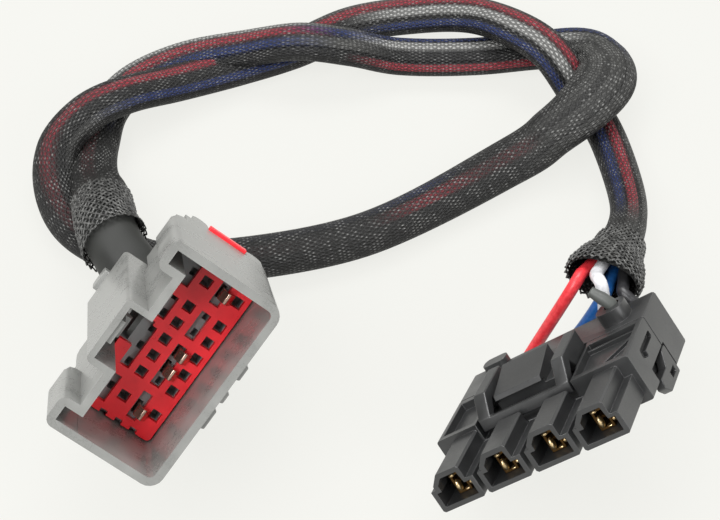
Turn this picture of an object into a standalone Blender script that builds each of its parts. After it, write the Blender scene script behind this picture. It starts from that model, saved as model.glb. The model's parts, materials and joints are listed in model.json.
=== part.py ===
"""Brake controller adapter harness.

A grey keyed vehicle-side plug and a black four-way controller-side plug, joined by four wires in a
braided sleeve that lies on the table in loops. Both plugs lean on the table, mouths up.

Sizes are in millimetres and MM turns them into metres. +Z is up, and the origin is on the table under
the middle of the two plugs. Each plug is modelled in its own frame and parented to an empty:
  grey plug:  x across the shroud, y along it, z out of its mouth, z = 0 at the rim
  black plug: x along the row of towers, y up, z out of the towers, z = 0 at their mouths
"""
import math

import bmesh
import bpy
from mathutils import Euler, Vector

MM = 0.001
GAP = 0.3            # clearance between pieces that touch
SLIDE_GAP = 0.4      # clearance around pieces that slide or swing

# Where the plugs lie: place of each plug's own origin, and its turn about X, Y and Z in degrees
GREY_PLACE = (-32.5, 153.2, 41.78)
GREY_TURN = (35.4, 29.8, -23.7)
BLACK_PLACE = (16.0, 133.7, 24.78)
BLACK_TURN = (46.8, -38.6, 8.5)
TABLE_SHIFT = (-1.87, -170.33, 0.0)

# Grey shroud
SHROUD_LENGTH = 42.6
SHROUD_RIGHT = 7.8
RECESS_X = -13.3
LOBE_X = -17.2
KEY_X = -17.7
SHROUD_WALL = 1.7
SHROUD_CORNER = 3.0
LOBE_CORNER = 1.8
LOBE_LENGTH = 6.5
LOBE_DEPTHS = {-1: 20.6, 1: 24.5}   # near lobe and far lobe
KEY_LENGTH = 14.2
KEY_DEPTH = 36.5
KEY_WALL = 1.3
SHROUD_DEPTH = 29.0
POCKET_DEPTH = 19.6
SHROUD_TAPER = 1.0
EAR_DEPTH = 33.8
EAR_WIDTH = 3.8
EAR_PLACES = (-9.6, 3.5)
BUMPS = ((6.8, 1.5), (1.0, 1.1), (-4.1, 2.1))   # middle and half length of each outside bump
BUMP_PROUD = 0.9

# Red lock plate and the terminal body behind it
PLATE_THICKNESS = 1.6
HOLE_SIDE = 2.2
HOLE_PITCH = 4.0
END_HOLE_STEP = 6.0
ROW_SPACING = 7.4
SIDE_COLUMN = -7.3
WINDOW_WIDTH = 2.2
SOCKET_LENGTH = 1.6
KEY_GAP = (-9.4, -4.6, 1.8)   # where the plate and terminal body make room for the latch lever
CAVITY_DEPTH = 3.5
BODY_THICKNESS = 6.0

# Grey plug terminals, slide, lever, cover and boot
TERMINAL_PLACES = (13.8, -0.9, -4.9, -14.8)
TERMINAL_WIDTH = 2.4
TERMINAL_STOCK = 0.5
TERMINAL_RISE = 1.4
SLIDE_THICKNESS = 1.8
SLIDE_HEAD = (-7.6, 1.2)
SLIDE_PRONG = 4.6
SLIDE_PROUD = 0.7
LEVER_WIDTH = 4.6
LEVER_MIDDLE = -1.3
LEVER_HOOK = -14.0
LEVER_THICKNESS = 1.4
LEVER_PIVOT_DEPTH = 21.0
LEVER_PAD = 4.0
COVER_DEPTH = 10.2
COVER_CORNER = 4.0
BOOT_ROOT_PLACE = (-3.8, 0.0)
BOOT_ROOT_RADIUS = 7.0
BOOT_END_RADIUS = 6.0
BOOT_WALL = 1.3

# Black plug
TOWER_PITCH = 10.7
TOWER_COUNT = 4
TOWER_WIDTH = 9.7
TOWER_SHOULDER = 4.8
TOWER_HEIGHT = 7.7
TOWER_LENGTH = 13.8
TOWER_WALL = 1.0
CREST_LEFT = 2.9
CREST_RIGHT = 8.0
FRONT_CAVITY_DEPTH = 11.0
BODY_LEFT = -1.0
BODY_MARGIN = 1.2
BODY_TOP = 8.6
BODY_BOTTOM = -1.3
BODY_BACK = 30.0
LOCK_BACK = 41.5
LOCK_BOTTOM = -3.8
PEG_PLACE = (36.2, -35.9)
WIRE_HOLE = 3.8
WIRE_AXIS_Y = 3.0
PANEL_DEPTH = 1.6
PANEL_FRAME = 1.3
RAMP_LEFT = 12.6
RAMP_RIGHT = 23.4
RAMP_TOP = 12.2
ARM_WIDTH = 2.7
LEFT_ARM_X = 9.0
RIGHT_ARM_X = 27.1
ARM_TOP = 12.4
ARM_PIVOT_DEPTH = 28.6
RECEPTACLE_WIDTH = 3.0
RECEPTACLE_HEIGHT = 4.4
RECEPTACLE_WALL = 0.45
RECEPTACLE_FRONT = -3.2

# Cable and wires
CABLE_DIAMETER = 7.0
WIRE_DIAMETER = 2.6
WIRE_EASE = 0.3      # how far each wire holds its direction at both ends, as a share of its reach
WIRE_LEAD = 4.6      # straight wire behind the rear lock, so that the lock can be pulled back over it
# Each wire at the open end of the sleeve: how far left and up it starts, and how high it bows on its way
WIRE_STARTS = {"wire_red": (4.5, 0.0, 0.0), "wire_blue": (-1.5, -1.6, -2.2),
               "wire_white": (1.5, 1.6, 6.4), "wire_black": (-4.5, 0.0, 0.0)}

# Route of the cable's centre line, from the boot to the open end of the sleeve, before TABLE_SHIFT
CABLE_ROUTE = [
    (-54, 204, 15), (-56, 212, 11), (-59, 222, 6), (-59, 231, 4), (-57, 240, 4), (-51, 248, 4),
    (-40, 254, 4), (-26, 255, 7), (-14, 254, 11), (-3, 254, 9), (9, 255, 4), (27, 255, 4),
    (49, 256, 6), (55, 251, 9), (55, 243, 12), (50, 236, 12), (43, 231, 9), (34, 226, 5),
    (0, 207, 4), (-37, 200, 4), (-52, 203, 4), (-62, 209, 4), (-67, 218, 5), (-67, 227, 8),
    (-61, 234, 11), (-53, 239, 11), (-42, 246, 6), (-28, 252, 4), (-15, 257, 4), (-2, 264, 4),
    (12, 266, 5), (25, 264, 8), (35, 257, 12), (43, 251, 11), (50, 243, 5), (55, 234, 4),
    (58, 221, 5), (58, 209, 10), (55, 198, 17), (49, 184, 25),
]


# ---------------------------------------------------------------- shapes

def rounded(points, radii, steps=5):
    """A closed outline with an arc of the given radius at each corner, 0 for a sharp one."""
    outline = []
    count = len(points)
    for index, corner in enumerate(points):
        corner = Vector(corner)
        radius = radii[index]
        if radius <= 0:
            outline.append(tuple(corner))
            continue
        before = (Vector(points[index - 1]) - corner).normalized()
        after = (Vector(points[(index + 1) % count]) - corner).normalized()
        half = before.angle(after) / 2
        reach = radius / math.tan(half)
        centre = corner + (before + after).normalized() * radius / math.sin(half)
        start = corner + before * reach - centre
        end = corner + after * reach - centre
        turn = start.angle_signed(end)
        for step in range(steps + 1):
            angle = -turn * step / steps
            swung = Vector((start.x * math.cos(angle) - start.y * math.sin(angle),
                            start.x * math.sin(angle) + start.y * math.cos(angle)))
            outline.append(tuple(centre + swung))
    return outline


def rectangle(x0, y0, x1, y1):
    return [(x0, y0), (x1, y0), (x1, y1), (x0, y1)]


def rounded_rectangle(x0, y0, x1, y1, radius, steps=5):
    return rounded(rectangle(x0, y0, x1, y1), [radius] * 4, steps)


def circle(centre_x, centre_y, radius, sides=16):
    turns = [2 * math.pi * side / sides for side in range(sides)]
    return [(centre_x + radius * math.cos(turn), centre_y + radius * math.sin(turn)) for turn in turns]


def add_prism(bm, outline, low, high, along="z"):
    """Extrude an outline between two heights along an axis; the outline is (x, y), (x, z) or (y, z)."""
    def place(u, v, w):
        if along == "z":
            return (u, v, w)
        if along == "y":
            return (u, w, v)
        return (w, u, v)
    rings = []
    for height in (low, high):
        rings.append([bm.verts.new(Vector(place(u, v, height)) * MM) for u, v in outline])
    bm.faces.new(rings[0])
    bm.faces.new(rings[1])
    for index in range(len(outline)):
        after = (index + 1) % len(outline)
        bm.faces.new((rings[0][index], rings[0][after], rings[1][after], rings[1][index]))


def add_box(bm, low, high):
    add_prism(bm, rectangle(low[0], low[1], high[0], high[1]), low[2], high[2])


def add_loft(bm, centres, directions, radii, sides=16):
    """A round tapered bar through the given centres."""
    rings = []
    for centre, direction, radius in zip(centres, directions, radii):
        turn = Vector(direction).to_track_quat("Z", "Y")
        ring = []
        for x, y in circle(0, 0, radius, sides):
            ring.append(bm.verts.new((Vector(centre) + turn @ Vector((x, y, 0))) * MM))
        rings.append(ring)
    bm.faces.new(rings[0])
    bm.faces.new(rings[-1])
    for lower, upper in zip(rings, rings[1:]):
        for index in range(sides):
            after = (index + 1) % sides
            bm.faces.new((lower[index], lower[after], upper[after], upper[index]))


def make_material(name, colour, roughness, metallic=0.0):
    material = bpy.data.materials.new(name)
    material.use_nodes = True
    shader = material.node_tree.nodes["Principled BSDF"]
    shader.inputs["Base Color"].default_value = (*colour, 1.0)
    shader.inputs["Roughness"].default_value = roughness
    shader.inputs["Metallic"].default_value = metallic
    material.diffuse_color = (*colour, 1.0)
    return material


def make_object(name, bm, parent, material=None, pivot=(0, 0, 0)):
    """Turn a bmesh into an object whose origin is at the pivot, in its parent's frame."""
    bmesh.ops.translate(bm, verts=bm.verts, vec=-Vector(pivot) * MM)
    bmesh.ops.recalc_face_normals(bm, faces=bm.faces)
    mesh = bpy.data.meshes.new(name)
    bm.to_mesh(mesh)
    bm.free()
    mesh.shade_smooth()
    mesh.set_sharp_from_angle(angle=math.radians(35))
    obj = bpy.data.objects.new(name, mesh)
    bpy.context.scene.collection.objects.link(obj)
    obj.parent = parent
    obj.location = Vector(pivot) * MM
    if material:
        mesh.materials.append(material)
    return obj


def make_tool(name, bm, parent):
    tool = make_object(name, bm, parent)
    tool.hide_render = True
    tool.display_type = "WIRE"
    return tool


def combine(target, tool, operation):
    modifier = target.modifiers.new(tool.name, "BOOLEAN")
    modifier.operation = operation
    modifier.solver = "EXACT"
    modifier.object = tool


def shape_with(target, parent, operation, label, *builders):
    """Cut, add or keep what the builder functions draw, each as a tool object of its own."""
    for number, builder in enumerate(builders):
        bm = bmesh.new()
        builder(bm)
        combine(target, make_tool(f"{target.name}_{label}_{number}", bm, parent), operation)


def make_frame(name, place, turn):
    """The empty that carries one plug."""
    empty = bpy.data.objects.new(name, None)
    bpy.context.scene.collection.objects.link(empty)
    empty.location = (Vector(place) + Vector(TABLE_SHIFT)) * MM
    empty.rotation_euler = [math.radians(angle) for angle in turn]
    return empty


# ---------------------------------------------------------------- grey plug

HALF_LENGTH = SHROUD_LENGTH / 2
INNER_RIGHT = SHROUD_RIGHT - SHROUD_WALL
INNER_LEFT = RECESS_X + SHROUD_WALL
INNER_HALF = HALF_LENGTH - SHROUD_WALL
PLATE_FRONT = -POCKET_DEPTH
PLATE_BACK = PLATE_FRONT - PLATE_THICKNESS
TERMINAL_BODY_FRONT = PLATE_BACK - GAP
TERMINAL_BODY_BACK = TERMINAL_BODY_FRONT - BODY_THICKNESS
SLIDE_FRONT = -SHROUD_DEPTH - GAP
SLIDE_BACK = SLIDE_FRONT - SLIDE_THICKNESS
COVER_FRONT = SLIDE_BACK - SLIDE_GAP
COVER_BACK = COVER_FRONT - COVER_DEPTH

# How each lobe closes towards its back: share of its depth, and of its height given up there
LOBE_PROFILE = ((0, 0), (0.72, 0), (0.86, 0.12), (0.95, 0.36), (1.0, 0.72))


def hole_steps():
    """Five close steps along a row, and one further at each end."""
    ends = 2 * HOLE_PITCH + END_HOLE_STEP
    return [-ends] + [HOLE_PITCH * count for count in range(-2, 3)] + [ends]


def hole_places():
    """Centres of the square holes, in two rows."""
    return [(side * ROW_SPACING / 2, step) for side in (-1, 1) for step in hole_steps()]


def window_places():
    """Centre and length of each long window: a middle column and a column beside the keyed wall."""
    middle = [(0.0, 13.7, 5.5), (0.0, 5.8, 6.2), (0.0, -4.1, 9.8), (0.0, -14.0, 6.3)]
    beside = [(SIDE_COLUMN, 5.7, 5.3), (SIDE_COLUMN, -4.0, 9.9), (SIDE_COLUMN, -14.1, 6.2)]
    return middle + beside


def socket_places():
    """Empty sockets at the windows' right edges: all along the side column, and between terminals."""
    between = [(0.0, step * HOLE_PITCH) for step in (-2, 1, 2)]
    return between + [(SIDE_COLUMN, step) for step in hole_steps()]


def make_shroud(frame, material):
    bm = bmesh.new()
    corners = [(RECESS_X, -HALF_LENGTH), (SHROUD_RIGHT, -HALF_LENGTH),
               (SHROUD_RIGHT, HALF_LENGTH), (RECESS_X, HALF_LENGTH)]
    add_prism(bm, rounded(corners, [0, SHROUD_CORNER, SHROUD_CORNER, 0]), -SHROUD_DEPTH, 0)
    shroud = make_object("shroud", bm, frame, material)

    def taper(tool):
        back = -SHROUD_DEPTH - 1
        profile = rounded([(RECESS_X - 1, 1), (RECESS_X - 1, back), (SHROUD_RIGHT - SHROUD_TAPER, back),
                           (SHROUD_RIGHT, -SHROUD_DEPTH * 0.7), (SHROUD_RIGHT, 1)], [0, 0, 0, 12, 0])
        add_prism(tool, profile, -HALF_LENGTH - 1, HALF_LENGTH + 1, along="y")
    shape_with(shroud, frame, "INTERSECT", "taper", taper)

    def lobe(side):
        def draw(tool):
            near = side * HALF_LENGTH
            far = side * (HALF_LENGTH - LOBE_LENGTH)
            outline = rounded([(RECESS_X + 1, near), (LOBE_X, near), (LOBE_X, far), (RECESS_X + 1, far)],
                              [0, LOBE_CORNER, LOBE_CORNER, 0])
            rings = []
            for depth, pull in LOBE_PROFILE:
                ring = []
                for x, y in outline:
                    moved = max(x, LOBE_X + pull * (RECESS_X - LOBE_X))
                    ring.append(tool.verts.new(Vector((moved, y, -LOBE_DEPTHS[side] * depth)) * MM))
                rings.append(ring)
            tool.faces.new(rings[0])
            tool.faces.new(rings[-1])
            for front, back in zip(rings, rings[1:]):
                for index in range(len(outline)):
                    after = (index + 1) % len(outline)
                    tool.faces.new((front[index], front[after], back[after], back[index]))
        return draw
    shape_with(shroud, frame, "UNION", "lobe", lobe(-1), lobe(1))

    def key(tool):
        half = KEY_LENGTH / 2
        outline = rounded([(RECESS_X + 1, -half), (RECESS_X + 1, half), (KEY_X, half), (KEY_X, -half)],
                          [0, 0, 0.9, 1.2], 4)
        add_prism(tool, outline, -KEY_DEPTH, 0)

    def ear(place):
        def draw(tool):
            radius = EAR_WIDTH / 2
            outline = [(place + radius, -SHROUD_DEPTH + 2), (place + radius, -EAR_DEPTH + radius)]
            outline += [(place + radius * math.cos(angle), -EAR_DEPTH + radius + radius * math.sin(angle))
                        for angle in [-math.pi * step / 8 for step in range(1, 8)]]
            outline += [(place - radius, -EAR_DEPTH + radius), (place - radius, -SHROUD_DEPTH + 2)]
            add_prism(tool, outline, INNER_HALF, HALF_LENGTH, along="y")
        return draw

    def bump(place, half):
        def draw(tool):
            inner = SHROUD_RIGHT - 0.5
            outer = SHROUD_RIGHT + BUMP_PROUD
            outline = rounded([(inner, place - half - 0.4), (outer, place - half), (outer, place + half),
                               (inner, place + half + 0.4)], [0, 0.3, 0.3, 0], 2)
            add_prism(tool, outline, -10.0, -1.2)
        return draw
    shape_with(shroud, frame, "UNION", "key", key)
    shape_with(shroud, frame, "UNION", "ear", *[ear(place) for place in EAR_PLACES])
    shape_with(shroud, frame, "UNION", "bump", *[bump(place, half) for place, half in BUMPS])

    def tube(tool):
        outline = rounded_rectangle(INNER_LEFT, -INNER_HALF, INNER_RIGHT, INNER_HALF, 1.2, 3)
        add_prism(tool, outline, -EAR_DEPTH - 1, 1)

    def lobe_pocket(side):
        def draw(tool):
            near = side * INNER_HALF
            far = side * (HALF_LENGTH - LOBE_LENGTH + SHROUD_WALL)
            low, high = sorted((near, far))
            floor = -LOBE_DEPTHS[side] * 0.7
            add_box(tool, (LOBE_X + SHROUD_WALL, low, floor), (INNER_LEFT + 1, high, 1))
        return draw

    def key_pocket(tool):
        half = KEY_LENGTH / 2 - KEY_WALL
        add_box(tool, (KEY_X + KEY_WALL, -half, -KEY_DEPTH - 1), (INNER_LEFT + 1, half, 1))
    shape_with(shroud, frame, "DIFFERENCE", "bore", tube, lobe_pocket(-1), lobe_pocket(1), key_pocket)

    def ledge(tool):
        add_box(tool, (KEY_X + KEY_WALL / 2, -2.2, -7.0), (KEY_X + KEY_WALL + 1.1, 2.8, -0.9))
    shape_with(shroud, frame, "UNION", "ledge", ledge)
    return shroud


def make_lock_plate(frame, material):
    bm = bmesh.new()
    outline = rounded_rectangle(INNER_LEFT + GAP, -INNER_HALF + GAP, INNER_RIGHT - GAP, INNER_HALF - GAP,
                                1.0, 3)
    add_prism(bm, outline, PLATE_BACK, PLATE_FRONT)
    plate = make_object("lock_plate", bm, frame, material)

    def openings(tool):
        half = HOLE_SIDE / 2
        for x, y in hole_places():
            add_box(tool, (x - half, y - half, PLATE_BACK - 1), (x + half, y + half, PLATE_FRONT + 1))
        for x, y, length in window_places():
            add_box(tool, (x - WINDOW_WIDTH / 2, y - length / 2, PLATE_BACK - 1),
                    (x + WINDOW_WIDTH / 2, y + length / 2, PLATE_FRONT + 1))

    def notches(tool):
        for x in (-5.2, -1.7, 1.8):
            add_box(tool, (x - 0.8, -INNER_HALF - 1, PLATE_BACK - 1),
                    (x + 0.8, -INNER_HALF + 1.2, PLATE_FRONT + 1))

    def corner(tool):
        add_box(tool, (INNER_LEFT, 11.0, PLATE_BACK - 1),
                (SIDE_COLUMN + WINDOW_WIDTH / 2, INNER_HALF + 1, PLATE_FRONT + 1))

    def key_gap(tool):
        right, near, far = KEY_GAP
        add_box(tool, (INNER_LEFT, near, PLATE_BACK - 1), (SIDE_COLUMN, far, PLATE_FRONT + 1))
    shape_with(plate, frame, "DIFFERENCE", "holes", openings, notches, corner, key_gap)
    return plate


def make_terminal_body(frame, material):
    bm = bmesh.new()
    outline = rounded_rectangle(INNER_LEFT + GAP, -INNER_HALF + GAP, INNER_RIGHT - GAP, INNER_HALF - GAP,
                                1.0, 3)
    add_prism(bm, outline, TERMINAL_BODY_BACK, TERMINAL_BODY_FRONT)
    body = make_object("terminal_body", bm, frame, material)

    def cavities(tool):
        half = HOLE_SIDE / 2
        for x, y in hole_places():
            add_box(tool, (x - half, y - half, TERMINAL_BODY_FRONT - CAVITY_DEPTH),
                    (x + half, y + half, TERMINAL_BODY_FRONT + 1))
        for x, y in socket_places():
            add_box(tool, (x, y - SOCKET_LENGTH / 2, TERMINAL_BODY_FRONT - CAVITY_DEPTH),
                    (x + WINDOW_WIDTH / 2, y + SOCKET_LENGTH / 2, TERMINAL_BODY_FRONT + 1))

    def terminal_ways(tool):
        half = TERMINAL_WIDTH / 2 + GAP
        for place in TERMINAL_PLACES:
            add_box(tool, (-TERMINAL_STOCK / 2 - GAP, place - half, TERMINAL_BODY_BACK - 1),
                    (TERMINAL_STOCK / 2 + GAP, place + half, TERMINAL_BODY_FRONT + 1))

    def key_gap(tool):
        right, near, far = KEY_GAP
        add_box(tool, (INNER_LEFT, near, TERMINAL_BODY_BACK - 1), (right, far, TERMINAL_BODY_FRONT + 1))
    shape_with(body, frame, "DIFFERENCE", "ways", cavities, terminal_ways, key_gap)
    return body


def make_plug_terminals(frame, material):
    """Copper blades that stand in the terminal body; each ends in a bowed spring tip over the plate."""
    half = TERMINAL_STOCK / 2
    base = TERMINAL_BODY_BACK - 1.2
    neck = PLATE_FRONT + 0.5
    top = neck + TERMINAL_RISE
    profile = [(-half, base), (half, base), (half, neck - 0.2), (1.3, top - 0.7), (2.2, neck - 0.4),
               (2.6, neck - 0.1), (1.4, top), (0.9, top), (-half, neck + 0.1)]
    for number, place in enumerate(TERMINAL_PLACES, start=1):
        bm = bmesh.new()
        add_prism(bm, profile, place - TERMINAL_WIDTH / 2, place + TERMINAL_WIDTH / 2, along="y")
        make_object(f"plug_terminal_{number}", bm, frame, material)


def make_lock_slide(frame, material):
    """Red slide that locks the terminals: a head that shows between the ears, and a prong behind."""
    bm = bmesh.new()
    head_inner = INNER_HALF - 4.0
    left, right = SLIDE_HEAD
    outline = [(left, -14.0), (left + SLIDE_PRONG, -14.0), (left + SLIDE_PRONG, head_inner),
               (right, head_inner), (right, HALF_LENGTH + SLIDE_PROUD), (left, HALF_LENGTH + SLIDE_PROUD)]
    add_prism(bm, outline, SLIDE_BACK, SLIDE_FRONT)
    return make_object("lock_slide", bm, frame, material, pivot=(left, HALF_LENGTH, SLIDE_FRONT))


def make_lock_lever(frame, material):
    """Latch lever in the key box: hook at the mouth, thumb pad at the back."""
    centre = (KEY_X + SHROUD_WALL + INNER_LEFT) / 2
    low = centre - LEVER_THICKNESS / 2
    high = centre + LEVER_THICKNESS / 2
    hook = LEVER_HOOK
    tail = -KEY_DEPTH - 1.2
    pad = tail - LEVER_PAD
    profile = [(low, hook), (low, tail), (KEY_X - 0.6, tail - 0.8), (KEY_X - 0.6, pad), (KEY_X + 1.2, pad),
               (high, tail - 1.5), (high, hook - 3.0), (high + 1.0, hook - 2.0), (high + 0.6, hook)]
    near = LEVER_MIDDLE - LEVER_WIDTH / 2
    far = LEVER_MIDDLE + LEVER_WIDTH / 2
    bm = bmesh.new()
    add_prism(bm, profile, near, far, along="y")
    lever = make_object("lock_lever", bm, frame, material, pivot=(centre, 0, -LEVER_PIVOT_DEPTH))

    def soft_corners(tool):
        outline = rounded_rectangle(near, pad, far, hook + 1, 1.1, 4)
        add_prism(tool, outline, KEY_X - 2, INNER_LEFT + 2, along="x")
    shape_with(lever, frame, "INTERSECT", "corners", soft_corners)
    return lever


def boot_stations():
    """Centres, directions and radii of the boot, from the cover to where the cable starts."""
    start = Vector(BOOT_ROOT_PLACE + (COVER_BACK + 1.0,))
    end = boot_end()
    arrival = cable_start_direction()
    handle = (end - start).length * 0.4
    first = start + Vector((-0.3, 0.0, -0.95)) * handle
    second = end - arrival * handle
    stations = []
    for step in range(9):
        t = step / 8
        point = ((1 - t) ** 3 * start + 3 * (1 - t) ** 2 * t * first
                 + 3 * (1 - t) * t ** 2 * second + t ** 3 * end)
        direction = ((1 - t) ** 2 * (first - start) + 2 * (1 - t) * t * (second - first)
                     + t ** 2 * (end - second))
        radius = BOOT_ROOT_RADIUS + (BOOT_END_RADIUS - BOOT_ROOT_RADIUS) * min(1.0, t * 1.5)
        stations.append((point, direction, radius))
    return stations


def to_grey(point):
    """A point on the table, before TABLE_SHIFT, in the grey plug's frame."""
    return rotation(GREY_TURN).inverted() @ (Vector(point) - Vector(GREY_PLACE))


def rotation(turn):
    return Euler([math.radians(angle) for angle in turn]).to_matrix()


def boot_end():
    return to_grey(CABLE_ROUTE[0])


def cable_start_direction():
    points = cable_points()
    return (to_grey(points[1]) - to_grey(points[0])).normalized()


def loft_path(bm, stations, shrink=0.0, sides=20):
    centres = [point for point, direction, radius in stations]
    directions = [direction for point, direction, radius in stations]
    add_loft(bm, centres, directions, [radius - shrink for point, direction, radius in stations], sides)


def make_rear_cover(frame, material):
    """Cover that closes the back of the shroud; the boot grows out of it."""
    bm = bmesh.new()
    outline = rounded_rectangle(RECESS_X + 0.8, -HALF_LENGTH + 0.6, SHROUD_RIGHT - SHROUD_TAPER - 0.6,
                                INNER_HALF - GAP, COVER_CORNER)
    add_prism(bm, outline, COVER_BACK, COVER_FRONT)
    cover = make_object("rear_cover", bm, frame, material)

    def lead_hole(tool):
        stations = boot_stations()
        root, direction, radius = stations[0]
        extended = [(root - direction.normalized() * 13, direction, radius)] + stations[:5]
        loft_path(tool, extended, shrink=-GAP)

    def key_clearance(tool):
        half = KEY_LENGTH / 2 + GAP
        add_box(tool, (KEY_X - 1, -half, COVER_BACK - 1), (INNER_LEFT + GAP + 1.0, half, COVER_FRONT + 1))
    shape_with(cover, frame, "DIFFERENCE", "hole", lead_hole, key_clearance)
    return cover


def make_boot(frame, material):
    bm = bmesh.new()
    loft_path(bm, boot_stations())
    boot = make_object("cable_boot", bm, frame, material)

    def bore(tool):
        stations = boot_stations()
        root, direction, radius = stations[0]
        hollow = [(root - direction.normalized() * 3, direction, radius)] + stations[:-1]
        loft_path(tool, hollow, shrink=BOOT_WALL)
    shape_with(boot, frame, "DIFFERENCE", "bore", bore)
    return boot


def make_tube(name, points, diameter, material, sides_resolution=2):
    """A cord: a smooth curve through the points, as a round tube with filled ends."""
    curve = bpy.data.curves.new(name, "CURVE")
    curve.dimensions = "3D"
    curve.bevel_depth = diameter / 2 * MM
    curve.bevel_resolution = sides_resolution
    curve.use_fill_caps = True
    curve.render_resolution_u = 0
    spline = curve.splines.new("POLY")
    spline.points.add(len(points) - 1)
    for target, point in zip(spline.points, points):
        target.co = (*(Vector(point) * MM), 1.0)
    curve.materials.append(material)
    obj = bpy.data.objects.new(name, curve)
    bpy.context.scene.collection.objects.link(obj)
    return obj


def smooth_route(points, spacing):
    """Points at about even spacing on the smooth curve through the route's own points."""
    points = [Vector(point) for point in points]
    padded = [2 * points[0] - points[1]] + points + [2 * points[-1] - points[-2]]
    fine = []
    for index in range(1, len(padded) - 2):
        a, b, c, d = padded[index - 1:index + 3]
        for step in range(16):
            t = step / 16
            fine.append(0.5 * (2 * b + (c - a) * t + (2 * a - 5 * b + 4 * c - d) * t ** 2
                               + (3 * b - a - 3 * c + d) * t ** 3))
    fine.append(points[-1])
    total = sum((after - before).length for before, after in zip(fine, fine[1:]))
    count = max(2, round(total / spacing))
    wanted = [total * step / count for step in range(count + 1)]
    spaced = [fine[0]]
    walked = 0.0
    target = 1
    for before, after in zip(fine, fine[1:]):
        length = (after - before).length
        while target < count and walked + length >= wanted[target]:
            share = (wanted[target] - walked) / length
            spaced.append(before.lerp(after, share))
            target += 1
        walked += length
    spaced.append(fine[-1])
    return spaced


# ---------------------------------------------------------------- black plug

BODY_RIGHT = (TOWER_COUNT - 1) * TOWER_PITCH + TOWER_WIDTH + BODY_MARGIN
HOUSING_BACK = -BODY_BACK
LOCK_FRONT = HOUSING_BACK - GAP


def tower_left(number):
    return number * TOWER_PITCH


def tower_centre(number):
    return tower_left(number) + TOWER_WIDTH / 2


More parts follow.
